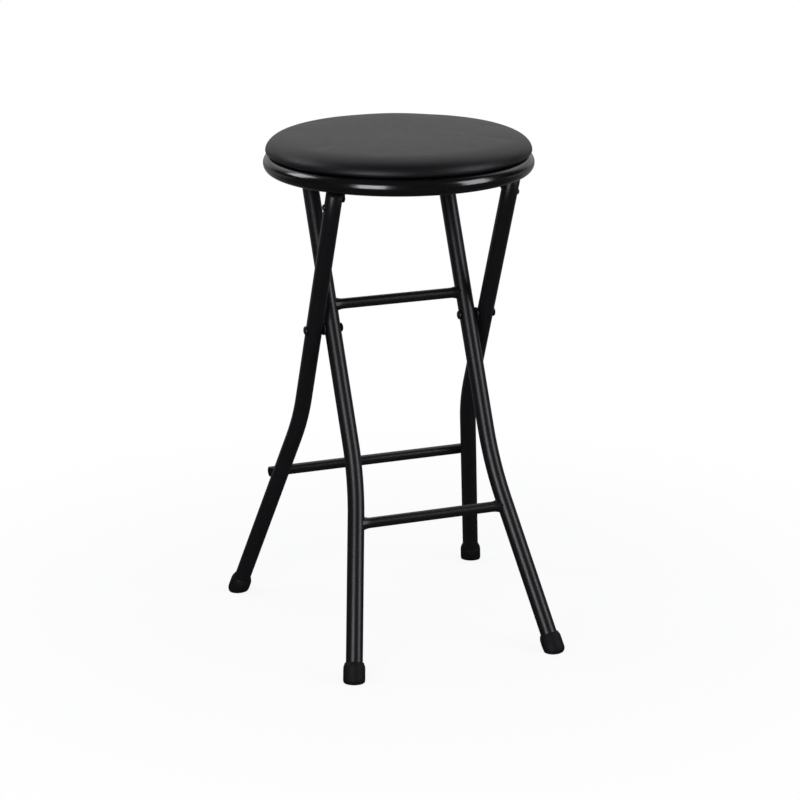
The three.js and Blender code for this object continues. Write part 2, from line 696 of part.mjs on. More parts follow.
// The pressed pan: a flat floor, an upright wall, and a rolled rim that ends in a hem
function makePan() {
  const centre = [SEAT_RADIUS - RIM_ROLL_RADIUS, RIM_BOTTOM_HEIGHT + RIM_ROLL_RADIUS];
  const wallOutside = SEAT_RADIUS - PAN_WALL_INSET;
  const wallInside = wallOutside - PAN_THICKNESS;
  const inner = RIM_ROLL_RADIUS - PAN_THICKNESS;
  const innerStart = Math.acos((wallOutside - centre[0]) / inner);
  const outerEnd = Math.acos((wallInside - centre[0]) / RIM_ROLL_RADIUS);
  const hem = centre[0] - HEM_WIDTH;
  const pan = turnedAboutZ([
    [0, PAN_UNDERSIDE_HEIGHT],
    [wallOutside, PAN_UNDERSIDE_HEIGHT],
    ...arcPoints(centre, inner, inner, innerStart, -Math.PI / 2, ROLL_STEPS),
    [hem, RIM_BOTTOM_HEIGHT + PAN_THICKNESS],
    [hem, RIM_BOTTOM_HEIGHT],
    ...arcPoints(centre, RIM_ROLL_RADIUS, RIM_ROLL_RADIUS, -Math.PI / 2, outerEnd, ROLL_STEPS),
    [wallInside, PAN_UNDERSIDE_HEIGHT + PAN_THICKNESS],
    [0, PAN_UNDERSIDE_HEIGHT + PAN_THICKNESS],
  ], SEAT_SIDES);
  return cut(pan, screwHoles(PAN_UNDERSIDE_HEIGHT - OVERRUN, PAN_UNDERSIDE_HEIGHT + OVERRUN));
}

const BOARD_BOTTOM = PAN_UNDERSIDE_HEIGHT + PAN_THICKNESS + GAP;
const BOARD_TOP = BOARD_BOTTOM + BOARD_THICKNESS;
const RIM_TOP = RIM_BOTTOM_HEIGHT + 2 * RIM_ROLL_RADIUS;
const COVER_BOTTOM = RIM_TOP + GAP;
const SKIRT_OUTSIDE = SEAT_RADIUS - PAN_WALL_INSET - PAN_THICKNESS - GAP;
const SKIRT_INSIDE = SKIRT_OUTSIDE - COVER_THICKNESS;

// The cover's outline from its groove, over the bulging side, to the crown, shrunk by a wall
function cushionOutline(wall, steps) {
  const side = SEAT_RADIUS - COVER_SIDE_INSET - wall;
  const edgeStart = side - COVER_EDGE_WIDTH + wall;
  const rise = COVER_EDGE_RISE - wall;
  const tuck = Math.asin((COVER_TUCK_RISE + wall) / rise);
  const edge = arcPoints([edgeStart, COVER_BOTTOM], side - edgeStart, rise, tuck, Math.PI / 2, steps);
  const crown = [];
  for (let step = 1; step <= CROWN_STEPS; step += 1) {
    const share = 1 - step / CROWN_STEPS;
    crown.push([edgeStart * share, COVER_BOTTOM + rise + COVER_CROWN * (1 - share * share)]);
  }
  return [[side - COVER_GROOVE_DEPTH, COVER_BOTTOM + wall], ...edge, ...crown];
}

function makeCover() {
  const skirtBottom = COVER_BOTTOM - COVER_SKIRT;
  return turnedAboutZ([
    [SKIRT_INSIDE, skirtBottom],
    [SKIRT_OUTSIDE, skirtBottom],
    [SKIRT_OUTSIDE, COVER_BOTTOM],
    ...cushionOutline(0, EDGE_STEPS),
    ...cushionOutline(COVER_THICKNESS, LINING_STEPS).reverse(),
    [SKIRT_INSIDE, COVER_BOTTOM + COVER_THICKNESS],
    [SKIRT_INSIDE, skirtBottom],
  ], SEAT_SIDES);
}

function makeFoam() {
  const radius = SKIRT_INSIDE - GAP;
  return turnedAboutZ([
    [0, BOARD_TOP + GAP],
    [radius, BOARD_TOP + GAP],
    [radius, COVER_BOTTOM + COVER_THICKNESS + GAP],
    ...cushionOutline(COVER_THICKNESS + GAP, LINING_STEPS),
  ], SEAT_SIDES);
}

function makeBoard() {
  const radius = SKIRT_INSIDE - GAP;
  const board = turnedAboutZ([
    [0, BOARD_BOTTOM],
    [radius, BOARD_BOTTOM],
    [radius, BOARD_TOP],
    [0, BOARD_TOP],
  ], SEAT_SIDES);
  const holeTop = BOARD_BOTTOM + BOARD_THICKNESS - GAP;
  return cut(board, screwHoles(BOARD_BOTTOM - OVERRUN, holeTop));
}

function makeSeat() {
  const group = new THREE.Group();
  group.add(named("seat_cover", makeCover(), vinyl));
  group.add(named("seat_foam", makeFoam(), foam));
  group.add(named("seat_board", makeBoard(), plywood));
  group.add(named("seat_pan", makePan(), rimGloss));
  for (const [label, side] of SIDES) {
    group.add(named(`hinge_bracket_${label}`, makeHingeBracket(side), powderCoat));
    group.add(named(`saddle_bracket_${label}`, makeSaddle(side), powderCoat));
  }
  for (const { name, x, y } of screwPlaces()) {
    group.add(named(name, makeScrew().translate(x, y, 0), zinc));
  }
  return group;
}

// The origin lies on the floor, under the middle of the stool's whole box
function makeStool() {
  const stool = new THREE.Group();
  stool.add(makeSeat(), makeInnerFrame(), makeOuterFrame());
  stool.updateMatrixWorld(true);
  const middle = new THREE.Box3().setFromObject(stool, true).getCenter(new THREE.Vector3());
  stool.position.y = -middle.y;
  stool.updateMatrixWorld(true);
  return stool;
}

export default makeStool();
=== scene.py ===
# Looks of the folding bar stool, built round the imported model. Lengths are in millimetres
# until a mesh is made; the mesh itself is in metres.
import json
import math
import random

import bpy
from mathutils import Matrix, Vector, noise


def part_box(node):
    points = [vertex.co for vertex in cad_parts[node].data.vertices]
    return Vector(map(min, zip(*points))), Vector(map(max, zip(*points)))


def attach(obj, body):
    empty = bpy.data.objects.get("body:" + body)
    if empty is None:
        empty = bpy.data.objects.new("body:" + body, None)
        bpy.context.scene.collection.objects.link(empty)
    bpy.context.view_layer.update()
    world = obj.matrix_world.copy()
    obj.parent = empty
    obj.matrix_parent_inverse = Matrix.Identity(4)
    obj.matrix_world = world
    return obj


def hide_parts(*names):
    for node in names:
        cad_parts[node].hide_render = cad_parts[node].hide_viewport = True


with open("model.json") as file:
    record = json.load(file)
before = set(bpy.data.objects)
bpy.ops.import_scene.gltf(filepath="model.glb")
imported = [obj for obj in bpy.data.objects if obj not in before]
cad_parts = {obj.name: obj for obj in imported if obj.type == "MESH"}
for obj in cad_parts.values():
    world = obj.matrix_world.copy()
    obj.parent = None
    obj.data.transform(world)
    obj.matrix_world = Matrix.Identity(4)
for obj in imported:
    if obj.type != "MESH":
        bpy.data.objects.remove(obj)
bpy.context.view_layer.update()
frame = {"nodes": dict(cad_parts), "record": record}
MM = 0.001


def middle_mm(node):
    low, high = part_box(node)
    return (low + high) / 2 / MM


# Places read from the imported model
PIVOT = middle_mm("pivot_rivet_left")
HINGE = middle_mm("hinge_rivet_left")
TOP_RUNG = middle_mm("inner_top_rung")
UPPER_RUNG = middle_mm("inner_upper_rung")
FRONT_RUNG = middle_mm("inner_front_rung")
REAR_RUNG = middle_mm("outer_rear_rung")
SEAT_MIDDLE = middle_mm("seat_pan")
SEAT_Y = SEAT_MIDDLE.y

# Tubes, rungs and bends, as in the part
TUBE_RADIUS = 10.0
TUBE_WALL = 1.2
RUNG_RADIUS = 6.35
INNER_HALF_WIDTH = 87.1
FRAME_GAP = 3.4
OUTER_HALF_WIDTH = INNER_HALF_WIDTH + 2 * TUBE_RADIUS + FRAME_GAP
LEG_OVERHANG = 8.0
GAP = 0.3

INNER_LEAN = math.atan2(TOP_RUNG.y - PIVOT.y, TOP_RUNG.z - PIVOT.z)
OUTER_LEAN = math.atan2(PIVOT.y - HINGE.y, HINGE.z - PIVOT.z)


class FrameSide:
    """One crossed frame: its legs lie in a plane that leans by an angle about X."""

    def __init__(self, half_width, bend_height, bend_radius, splay_degrees, lean, top_height):
        self.half_width = half_width
        self.bend_height = bend_height
        self.bend_radius = bend_radius
        self.splay = math.radians(splay_degrees)
        self.lean = lean
        self.top = top_height / math.cos(lean) + LEG_OVERHANG
        self.pivot = PIVOT.z / math.cos(lean)
        self.foot_y = PIVOT.y + PIVOT.z * math.tan(lean)
        self.foot_half_width = half_width + bend_height * math.tan(self.splay)
        place = Matrix.Translation((0, self.foot_y, 0))
        self.matrix = place @ Matrix.Rotation(lean, 4, "X")

    def bend_ends(self):
        tangent = self.bend_radius * math.tan(self.splay / 2)
        return self.bend_height - tangent * math.cos(self.splay), self.bend_height + tangent

    def centre(self, along):
        """Half width and slope angle of a leg's centre line at a place along the frame."""
        low, high = self.bend_ends()
        if along >= high:
            return self.half_width, 0.0
        if along <= low:
            return self.foot_half_width - along * math.tan(self.splay), self.splay
        angle = math.asin((high - along) / self.bend_radius)
        return self.half_width + self.bend_radius * (1 - math.cos(angle)), angle

    def local(self, height):
        """Place along the frame at which its plane reaches a height."""
        return height / math.cos(self.lean)


INNER = FrameSide(
    INNER_HALF_WIDTH, bend_height=234.7, bend_radius=509.0, splay_degrees=10.04,
    lean=-INNER_LEAN, top_height=TOP_RUNG.z,
)
OUTER = FrameSide(
    OUTER_HALF_WIDTH, bend_height=275.5, bend_radius=330.0, splay_degrees=10.53,
    lean=OUTER_LEAN, top_height=HINGE.z,
)
SIDES = (("left", -1), ("right", 1))


# Mesh helpers

# Angles in degrees between faces; a sharper edge stays sharp in the smooth shading
CAD_SHARP = 35
PIN_SHARP = 38
SAWN_SHARP = 40
FOOT_SHARP = 42
PAN_SHARP = 45
TUBE_SHARP = 50
WELD_SHARP = 60
CUSHION_SHARP = 60


def new_object(name, verts, faces, matrix, sharp_degrees):
    """A mesh object from points in millimetres, smooth, with sharp edges kept."""
    mesh = bpy.data.meshes.new(name)
    points = [(matrix @ Vector(v)) * MM for v in verts]
    mesh.from_pydata([tuple(p) for p in points], [], faces)
    mesh.validate()
    mesh.polygons.foreach_set("use_smooth", [True] * len(mesh.polygons))
    mesh.set_sharp_from_angle(angle=math.radians(sharp_degrees))
    mesh.update()
    obj = bpy.data.objects.new(name, mesh)
    bpy.context.scene.collection.objects.link(obj)
    return obj


def rings_to_faces(count, sides, closed):
    """Quads between rings that lie one after the other."""
    faces = []
    last = count if closed else count - 1
    for ring in range(last):
        a = ring * sides
        b = ((ring + 1) % count) * sides
        for side in range(sides):
            nxt = (side + 1) % sides
            faces.append((a + side, a + nxt, b + nxt, b + side))
    return faces


def turned(profile, sides):
    """A solid of revolution about Z from (radius, z) pairs. A first or last radius of 0
    closes the end; otherwise the profile is closed on itself."""
    verts = []
    start_cap = profile[0][0] == 0
    end_cap = profile[-1][0] == 0
    body = profile[1 if start_cap else 0: -1 if end_cap else None]
    for radius, z in body:
        for side in range(sides):
            angle = 2 * math.pi * side / sides
            verts.append((radius * math.cos(angle), radius * math.sin(angle), z))
    faces = rings_to_faces(len(body), sides, closed=not (start_cap or end_cap))
    if start_cap:
        centre = len(verts)
        verts.append((0, 0, profile[0][1]))
        faces += [(centre, (s + 1) % sides, s) for s in range(sides)]
    if end_cap:
        centre = len(verts)
        base = (len(body) - 1) * sides
        verts.append((0, 0, profile[-1][1]))
        faces += [(centre, base + s, base + (s + 1) % sides) for s in range(sides)]
    return verts, faces


def arc(centre, across, up, start, end, steps):
    """Points of an arc, in (radius, z) pairs, whose half widths are across and up."""
    points = []
    for step in range(steps + 1):
        angle = start + (end - start) * step / steps
        points.append((centre[0] + across * math.cos(angle), centre[1] + up * math.sin(angle)))
    return points


# Lays a shape that was turned about Z along X
TO_X = Matrix(((0, 0, 1, 0), (0, 1, 0, 0), (-1, 0, 0, 0), (0, 0, 0, 1)))


def side_turn(side):
    """Turns a shape that was made for the right side half round Z for the left side."""
    return Matrix.Identity(4) if side > 0 else Matrix.Rotation(math.pi, 4, "Z")


def finish_piece(obj, material, body, node=None):
    """Material, body, and the node that the object stands in for."""
    obj.data.materials.clear()
    obj.data.materials.append(material)
    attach(obj, body)
    if node:
        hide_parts(node)
    return obj


# Materials. Texture scales are per metre.

TINT_SCALE = 22.0
TINT_DETAIL = 4.0
SPOT_SCALE = 160.0
SPOT_DETAIL = 3.0
SPOT_RANGE = (0.3, 0.7)
GRAIN_DETAIL = 2.0


def make_material(name, colour, dark_share, roughness, rough_spread, bump, detail=()):
    """A procedural surface: colour and roughness vary over it, and a fine bump breaks gloss.
    bump holds the grain's scale, its strength and its depth in metres; detail holds values
    for the shader's own sockets."""
    material = bpy.data.materials.new(name)
    material.use_nodes = True
    nodes = material.node_tree.nodes
    links = material.node_tree.links
    shader = nodes["Principled BSDF"]
    where = nodes.new("ShaderNodeTexCoord")

    broad = nodes.new("ShaderNodeTexNoise")
    broad.inputs["Scale"].default_value = TINT_SCALE
    broad.inputs["Detail"].default_value = TINT_DETAIL
    links.new(where.outputs["Object"], broad.inputs["Vector"])

    tint = nodes.new("ShaderNodeMix")
    tint.data_type = "RGBA"
    tint.inputs["A"].default_value = (*[c * dark_share for c in colour], 1)
    tint.inputs["B"].default_value = (*colour, 1)
    links.new(broad.outputs["Fac"], tint.inputs["Factor"])
    links.new(tint.outputs["Result"], shader.inputs["Base Color"])

    spots = nodes.new("ShaderNodeTexNoise")
    spots.inputs["Scale"].default_value = SPOT_SCALE
    spots.inputs["Detail"].default_value = SPOT_DETAIL
    links.new(where.outputs["Object"], spots.inputs["Vector"])
    rough = nodes.new("ShaderNodeMapRange")
    rough.inputs["From Min"].default_value = SPOT_RANGE[0]
    rough.inputs["From Max"].default_value = SPOT_RANGE[1]
    rough.inputs["To Min"].default_value = roughness - rough_spread
    rough.inputs["To Max"].default_value = roughness + rough_spread
    links.new(spots.outputs["Fac"], rough.inputs["Value"])
    links.new(rough.outputs["Result"], shader.inputs["Roughness"])

    scale, strength, depth = bump
    grain = nodes.new("ShaderNodeTexNoise")
    grain.inputs["Scale"].default_value = scale
    grain.inputs["Detail"].default_value = GRAIN_DETAIL
    links.new(where.outputs["Object"], grain.inputs["Vector"])
    relief = nodes.new("ShaderNodeBump")
    relief.inputs["Strength"].default_value = strength
    relief.inputs["Distance"].default_value = depth
    links.new(grain.outputs["Fac"], relief.inputs["Height"])
    links.new(relief.outputs["Normal"], shader.inputs["Normal"])
    for socket, value in detail:
        shader.inputs[socket].default_value = value
    return material


PEBBLE_SCALE = 760.0
PEBBLE_EDGE = 0.25
PEBBLE_STRENGTH = 0.4
PEBBLE_DEPTH = 0.00008


def make_vinyl():
    """Smooth black upholstery vinyl: a pebbled grain of small cells, with a soft sheen."""
    material = make_material(
        "vinyl", (0.0036, 0.0036, 0.0042), dark_share=0.9, roughness=0.44, rough_spread=0.02,
        bump=(900, 0.1, 0.00003), detail=(("Specular IOR Level", 0.38),),
    )
    nodes = material.node_tree.nodes
    links = material.node_tree.links
    shader = nodes["Principled BSDF"]
    where = nodes.new("ShaderNodeTexCoord")
    cells = nodes.new("ShaderNodeTexVoronoi")
    cells.feature = "DISTANCE_TO_EDGE"
    cells.inputs["Scale"].default_value = PEBBLE_SCALE
    links.new(where.outputs["Object"], cells.inputs["Vector"])
    ridge = nodes.new("ShaderNodeMapRange")
    ridge.inputs["From Max"].default_value = PEBBLE_EDGE
    links.new(cells.outputs["Distance"], ridge.inputs["Value"])
    relief = nodes.new("ShaderNodeBump")
    relief.inputs["Strength"].default_value = PEBBLE_STRENGTH
    relief.inputs["Distance"].default_value = PEBBLE_DEPTH
    links.new(ridge.outputs["Result"], relief.inputs["Height"])
    links.new(nodes["Bump"].outputs["Normal"], relief.inputs["Normal"])
    links.new(relief.outputs["Normal"], shader.inputs["Normal"])
    return material


PLY_SCALE = 55.0
PLY_WAVER = 0.4
DARK_PLY = (0.3, 0.18, 0.09, 1)
PALE_PLY = (0.55, 0.38, 0.22, 1)


def make_plywood():
    """Plywood, with its layers showing as bands."""
    material = make_material(
        "plywood", (0.5, 0.34, 0.19), dark_share=0.7, roughness=0.7, rough_spread=0.1,
        bump=(500, 0.3, 0.0001),
    )
    nodes = material.node_tree.nodes
    links = material.node_tree.links
    where = nodes.new("ShaderNodeTexCoord")
    layers = nodes.new("ShaderNodeTexWave")
    layers.bands_direction = "Z"
    layers.inputs["Scale"].default_value = PLY_SCALE
    layers.inputs["Distortion"].default_value = PLY_WAVER
    links.new(where.outputs["Object"], layers.inputs["Vector"])
    plies = nodes.new("ShaderNodeMix")
    plies.data_type = "RGBA"
    plies.inputs["A"].default_value = DARK_PLY
    plies.inputs["B"].default_value = PALE_PLY
    links.new(layers.outputs["Fac"], plies.inputs["Factor"])
    links.new(plies.outputs["Result"], nodes["Principled BSDF"].inputs["Base Color"])
    return material


powder = make_material(
    "powder_coat", (0.0042, 0.0042, 0.0049), dark_share=0.8, roughness=0.33, rough_spread=0.02,
    bump=(650, 0.8, 0.00008), detail=(("Specular IOR Level", 0.48),),
)
enamel = make_material(
    "rim_enamel", (0.002, 0.002, 0.0024), dark_share=0.7, roughness=0.17, rough_spread=0.02,
    bump=(320, 0.5, 0.00003), detail=(("Specular IOR Level", 1.0),),
)
vinyl = make_vinyl()
rubber = make_material(
    "rubber", (0.0042, 0.0042, 0.0047), dark_share=0.6, roughness=0.62, rough_spread=0.08,
    bump=(1100, 0.5, 0.00008), detail=(("Specular IOR Level", 0.22),),
)
plastic = make_material(
    "black_plastic", (0.006, 0.006, 0.0065), dark_share=0.7, roughness=0.45, rough_spread=0.05,
    bump=(1400, 0.15, 0.00003), detail=(("Specular IOR Level", 0.35),),
)
rivet_black = make_material(
    "black_rivet", (0.005, 0.005, 0.0055), dark_share=0.6, roughness=0.28, rough_spread=0.05,
    bump=(900, 0.1, 0.00003), detail=(("Specular IOR Level", 0.45),),
)
zinc = make_material(
    "zinc_screw", (0.52, 0.52, 0.53), dark_share=0.75, roughness=0.32, rough_spread=0.08,
    bump=(800, 0.15, 0.00004), detail=(("Metallic", 0.9),),
)
plywood = make_plywood()
foam = make_material(
    "cushion_foam", (0.72, 0.68, 0.54), dark_share=0.85, roughness=0.9, rough_spread=0.05,
    bump=(600, 0.6, 0.0004),
)

SLOT_MATERIALS = {
    "vinyl": vinyl,
    "foam": foam,
    "plywood": plywood,
    "rim_enamel": enamel,
    "powder_coat": powder,
    "rubber": rubber,
    "black_plastic": plastic,
    "black_rivet": rivet_black,
    "zinc_screw": zinc,
}
for part in frame["record"]["subparts"]:
    node = frame["nodes"][part["node"]]
    node.data.materials.clear()
    node.data.materials.append(SLOT_MATERIALS[part["material_slot"]])
    node.data.polygons.foreach_set("use_smooth", [True] * len(node.data.polygons))
    node.data.set_sharp_from_angle(angle=math.radians(CAD_SHARP))


# Legs

LEG_SIDES = 48
BEND_STEPS = 22
STRAIGHT_STEP = 40.0
TUBE_LIP = 0.5
TUBE_START = 7.5


def leg_stations(side_frame, start, end):
    """Places along a leg, close together in its bend."""
    low, high = side_frame.bend_ends()
    places = []
    count = max(1, round((low - start) / STRAIGHT_STEP))
    places += [start + (low - start) * i / count for i in range(count)]
    places += [low + (high - low) * i / BEND_STEPS for i in range(BEND_STEPS)]
    count = max(1, round((end - high) / STRAIGHT_STEP))
    places += [high + (end - high) * i / count for i in range(count + 1)]
    return places


def make_leg(name, side_frame, side, body):
    """A bent tube with a rounded upper lip; its lower end stands inside the foot."""
    verts = []
    rings = []
    inside = TUBE_RADIUS - TUBE_WALL
    for place in leg_stations(side_frame, TUBE_START, side_frame.top - TUBE_LIP):
        rings.append((place, TUBE_RADIUS))
    rings.append((side_frame.top, TUBE_RADIUS - TUBE_LIP))
    rings.append((side_frame.top, inside + TUBE_LIP / 2))
    rings.append((side_frame.top - TUBE_LIP, inside))
    inner_end = side_frame.top - 2 * TUBE_LIP
    for place in reversed(leg_stations(side_frame, TUBE_START, inner_end)):
        rings.append((place, inside))
    for place, radius in rings:
        half_width, angle = side_frame.centre(place)
        for step in range(LEG_SIDES):
            turn = 2 * math.pi * step / LEG_SIDES
            across = radius * math.cos(turn)
            out = radius * math.sin(turn)
            x = half_width + across * math.cos(angle)
            z = place + across * math.sin(angle)
            verts.append((side * x, side * out, z))
    faces = rings_to_faces(len(rings), LEG_SIDES, closed=True)
    obj = new_object(name, verts, faces, side_frame.matrix, TUBE_SHARP)
    return finish_piece(obj, powder, body)


# Rungs

RUNG_SIDES = 40
WELD_RADIUS = 7.9
WELD_LENGTH = 8.5
WELD_OVERLAP = 0.15
# The fillet: share of its length from the leg, and share of its height there
FLARE = ((0.0, 1.0), (0.12, 0.78), (0.28, 0.5), (0.5, 0.24), (0.75, 0.07), (1.0, 0.0))
RIPPLES = 11
RIPPLE_HEIGHT = 0.22
LATEST_PHASE = 6


def leg_face(side_frame, along, out):
    """Half width of a leg's inner face at a place along the frame, out from its plane."""
    half_width, angle = side_frame.centre(along)
    chord = math.sqrt(max(0.0, TUBE_RADIUS ** 2 - out ** 2))
    return half_width - chord / math.cos(angle)


def make_rung(name, side_frame, along, body, node):
    """A rung whose ends are mitred round the legs, each with a small weld fillet."""
    phase = random.Random(name).uniform(0, LATEST_PHASE)
    weld_end = side_frame.centre(along)[0] - TUBE_RADIUS - WELD_LENGTH
    verts = []
    rows = [(-1, s) for s in FLARE] + [(1, s) for s in reversed(FLARE)]
    for sign, (share, extra) in rows:
        for step in range(RUNG_SIDES):
            turn = 2 * math.pi * step / RUNG_SIDES
            bead = (1 - share) ** 2 * RIPPLE_HEIGHT * math.sin(RIPPLES * turn + phase * sign)
            r = RUNG_RADIUS + extra * (WELD_RADIUS - RUNG_RADIUS) + bead
            out = r * math.cos(turn)
            up = r * math.sin(turn)
            face = leg_face(side_frame, along + up, out) + WELD_OVERLAP
            reach = face * (1 - share) + weld_end * share
            verts.append((sign * reach, out, along + up))
    faces = rings_to_faces(len(rows), RUNG_SIDES, closed=False)
    faces.append(tuple(reversed(range(RUNG_SIDES))))
    base = (len(rows) - 1) * RUNG_SIDES
    faces.append(tuple(range(base, base + RUNG_SIDES)))
    obj = new_object(name, verts, faces, side_frame.matrix, TUBE_SHARP)
    return finish_piece(obj, powder, body, node)


REAR_BORE_DEPTH = 6
BORE_BEVEL = (0.3, 0.2)
SAWN_BEVEL = 0.4


def make_rear_rung():
    """The rear rung crosses behind the outer legs; its sawn ends stand out past them."""
    half = (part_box("outer_rear_rung")[1].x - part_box("outer_rear_rung")[0].x) / 2 / MM
    bore = RUNG_RADIUS - TUBE_WALL
    sawn_end = [
        (0, REAR_BORE_DEPTH), (bore, REAR_BORE_DEPTH),
        (bore, BORE_BEVEL[1]), (bore + BORE_BEVEL[0], 0),
        (RUNG_RADIUS - SAWN_BEVEL, 0), (RUNG_RADIUS, SAWN_BEVEL),
    ]
    profile = [(radius, -half + depth) for radius, depth in sawn_end]
    profile += [(radius, half - depth) for radius, depth in reversed(sawn_end)]
    verts, faces = turned(profile, RUNG_SIDES)
    place = Matrix.Translation((0, REAR_RUNG.y, REAR_RUNG.z))
    obj = new_object("rear_rung", verts, faces, place @ TO_X, SAWN_SHARP)
    return finish_piece(obj, powder, "outer_frame", "outer_rear_rung")


REAR_RUNG_OUT = 15.45
REAR_WELD_OFFSET = 4.7
REAR_WELD_REACH = 36
REAR_WELD_THICKNESS = 1.5
REAR_WELD_FLATNESS = 0.8
REAR_WELD_RAISE = 0.6
REAR_WELD_ENDS = (0.04, 0.92)
REAR_WELD_UNEVENNESS = 0.07
REAR_WELD_RINGS = 25
REAR_WELD_SIDES = 12


def make_rear_weld(label, side, edge):
    """A bead of weld along one edge of the seat of the rear rung on an outer leg."""
    along = (REAR_RUNG.z - REAR_RUNG_OUT * math.sin(OUTER.lean)) / math.cos(OUTER.lean)
    along += edge * REAR_WELD_OFFSET
    half_width, _ = OUTER.centre(along)
    rng = random.Random(f"{label}{edge}")
    verts = []
    rings, sides = REAR_WELD_RINGS, REAR_WELD_SIDES
    first, span = REAR_WELD_ENDS
    for ring in range(rings):
        share = ring / (rings - 1)
        turn = math.radians(REAR_WELD_REACH * (2 * share - 1))
        thick = REAR_WELD_THICKNESS * math.sin(math.pi * (first + span * share)) ** 0.5
        thick *= 1 + REAR_WELD_UNEVENNESS * rng.uniform(-1, 1)
        x = half_width + TUBE_RADIUS * math.sin(turn)
        out = TUBE_RADIUS * math.cos(turn) + REAR_WELD_RAISE
        for step in range(sides):
            roll = 2 * math.pi * step / sides
            raised = out + REAR_WELD_FLATNESS * thick * math.cos(roll)
            verts.append((side * x, raised, along + side * thick * math.sin(roll)))
    faces = rings_to_faces(rings, sides, closed=False)
    faces.append(tuple(reversed(range(sides))))
    faces.append(tuple(range((rings - 1) * sides, rings * sides)))
    name = f"rear_weld_{label}_{'upper' if edge > 0 else 'lower'}"
    obj = new_object(name, verts, faces, OUTER.matrix, WELD_SHARP)
    finish_piece(obj, powder, "outer_frame", None)


# Feet

FOOT_RADIUS = 13.0
FOOT_BOTTOM = -4.5
FOOT_ROUNDING = 7.5
ROUNDING_STEPS = 14
SOLE_RING = 3.0
# The shoulder as distance in from the foot's side and height, and the mouth as distance out
# from its bore and height
FOOT_SHOULDER = ((0, 9.0), (0, 14.0), (0.1, 17.4), (0.5, 19.2), (1.2, 21.0))
FOOT_MOUTH = ((1.0, 22.6), (0.5, 23.2), (0, 23.0), (0, 18.0), (0, 12.0))
BORE_CLEARANCE = 0.25
FOOT_SIDES = 64


def make_foot(name, side_frame, side, body, node):
    """A moulded rubber foot with a tapered shoulder, ground level where it meets the floor."""
    bore = TUBE_RADIUS + BORE_CLEARANCE
    corner = (FOOT_RADIUS - FOOT_ROUNDING, FOOT_BOTTOM + FOOT_ROUNDING)
    profile = [
        (0, FOOT_BOTTOM), (SOLE_RING, FOOT_BOTTOM),
        *arc(corner, FOOT_ROUNDING, FOOT_ROUNDING, -math.pi / 2, 0, ROUNDING_STEPS),
        *[(FOOT_RADIUS - inset, height) for inset, height in FOOT_SHOULDER],
        *[(bore + out, height) for out, height in FOOT_MOUTH],
        (0, FOOT_MOUTH[-1][1]),
    ]
    verts, faces = turned(profile, FOOT_SIDES)
    tilt = Matrix.Rotation(-side * side_frame.splay, 4, "Y")
    across = Matrix.Translation((side * side_frame.foot_half_width, 0, 0))
    obj = new_object(name, verts, faces, side_frame.matrix @ across @ tilt, FOOT_SHARP)
    for vertex in obj.data.vertices:
        vertex.co.z = max(vertex.co.z, 0.0)
    obj.data.update()
    return finish_piece(obj, rubber, body, node)


# Rivets, spacers and plugs

PIN_SIDES = 40
HINGE_HEAD = 0.8
# Radius of the pin, radius of its heads, and the heights of its inner and outer head
PIVOT_RIVET = (3.175, 5.5, (2.6, 2.6))
HINGE_RIVET = (2.5, 4.2, (HINGE_HEAD, 0))
PLUG_RIVET = (2.0, 3.8, (0, 2.1))
PLUG_RIVET_DROP = 11.2
DOME_RIM = 0.28
DOME_EDGE = 0.7
DOME_CROWN = 0.96
DOME_STEPS = 8
SPACER_BORE = 3.4
SPACER_FACE = 6.9
SPACER_RADIUS = 7.5
SPACER_BEVEL = 0.5
END_PLUG_LENGTH = 12
HINGE_PLUG_LENGTH = 26
PLUG_BEVEL = (0.8, 1)
# The cap as distance in from the tube's side and height above its edge
PLUG_CAP = ((0.1, 0), (0, 0.2), (0, 0.6), (0.5, 1.1), (1.8, 1.5))


def dome(radius, base, height, sign):
    """Profile of a domed head from its rim to its crown, above or below a base."""
    rim = height * DOME_RIM
    points = [(radius, base), (radius, base + sign * rim * DOME_EDGE)]
    points += [
        (radius * DOME_CROWN * math.cos(a), base + sign * (rim + (height - rim) * math.sin(a)))
        for a in [math.pi / 2 * i / DOME_STEPS for i in range(DOME_STEPS)]
    ]
    points.append((0, base + sign * height))
    return points


def make_rivet(name, side_frame, along, side, inner, outer, size, body, node):
    """A pin across a leg with a head at each end; a height of 0 leaves that head out."""
    radius, head, (low_height, high_height) = size
    profile = list(reversed(dome(head, inner, low_height, -1))) if low_height else [(0, inner)]
    profile += [(radius, inner), (radius, outer)]
    profile += dome(head, outer, high_height, 1) if high_height else [(0, outer)]
    verts, faces = turned(profile, PIN_SIDES)
    place = side_frame.matrix @ Matrix.Translation((0, 0, along)) @ side_turn(side) @ TO_X
    obj = new_object(name, verts, faces, place, PIN_SHARP)
    return finish_piece(obj, rivet_black, body, node)


def make_spacer(label, side):
    """The washer that keeps the crossing legs apart."""
    inner = INNER_HALF_WIDTH + TUBE_RADIUS + GAP
    outer = OUTER_HALF_WIDTH - TUBE_RADIUS - GAP
    profile = [
        (SPACER_BORE, inner), (SPACER_FACE, inner), (SPACER_RADIUS, inner + SPACER_BEVEL),
        (SPACER_RADIUS, outer - SPACER_BEVEL), (SPACER_FACE, outer), (SPACER_BORE, outer),
    ]
    verts, faces = turned(profile, PIN_SIDES)
    place = INNER.matrix @ Matrix.Translation((0, 0, INNER.pivot)) @ side_turn(side) @ TO_X
    obj = new_object(f"spacer_{label}", verts, faces, place, PIN_SHARP)
    return finish_piece(obj, plastic, "inner_frame", f"pivot_spacer_{label}")


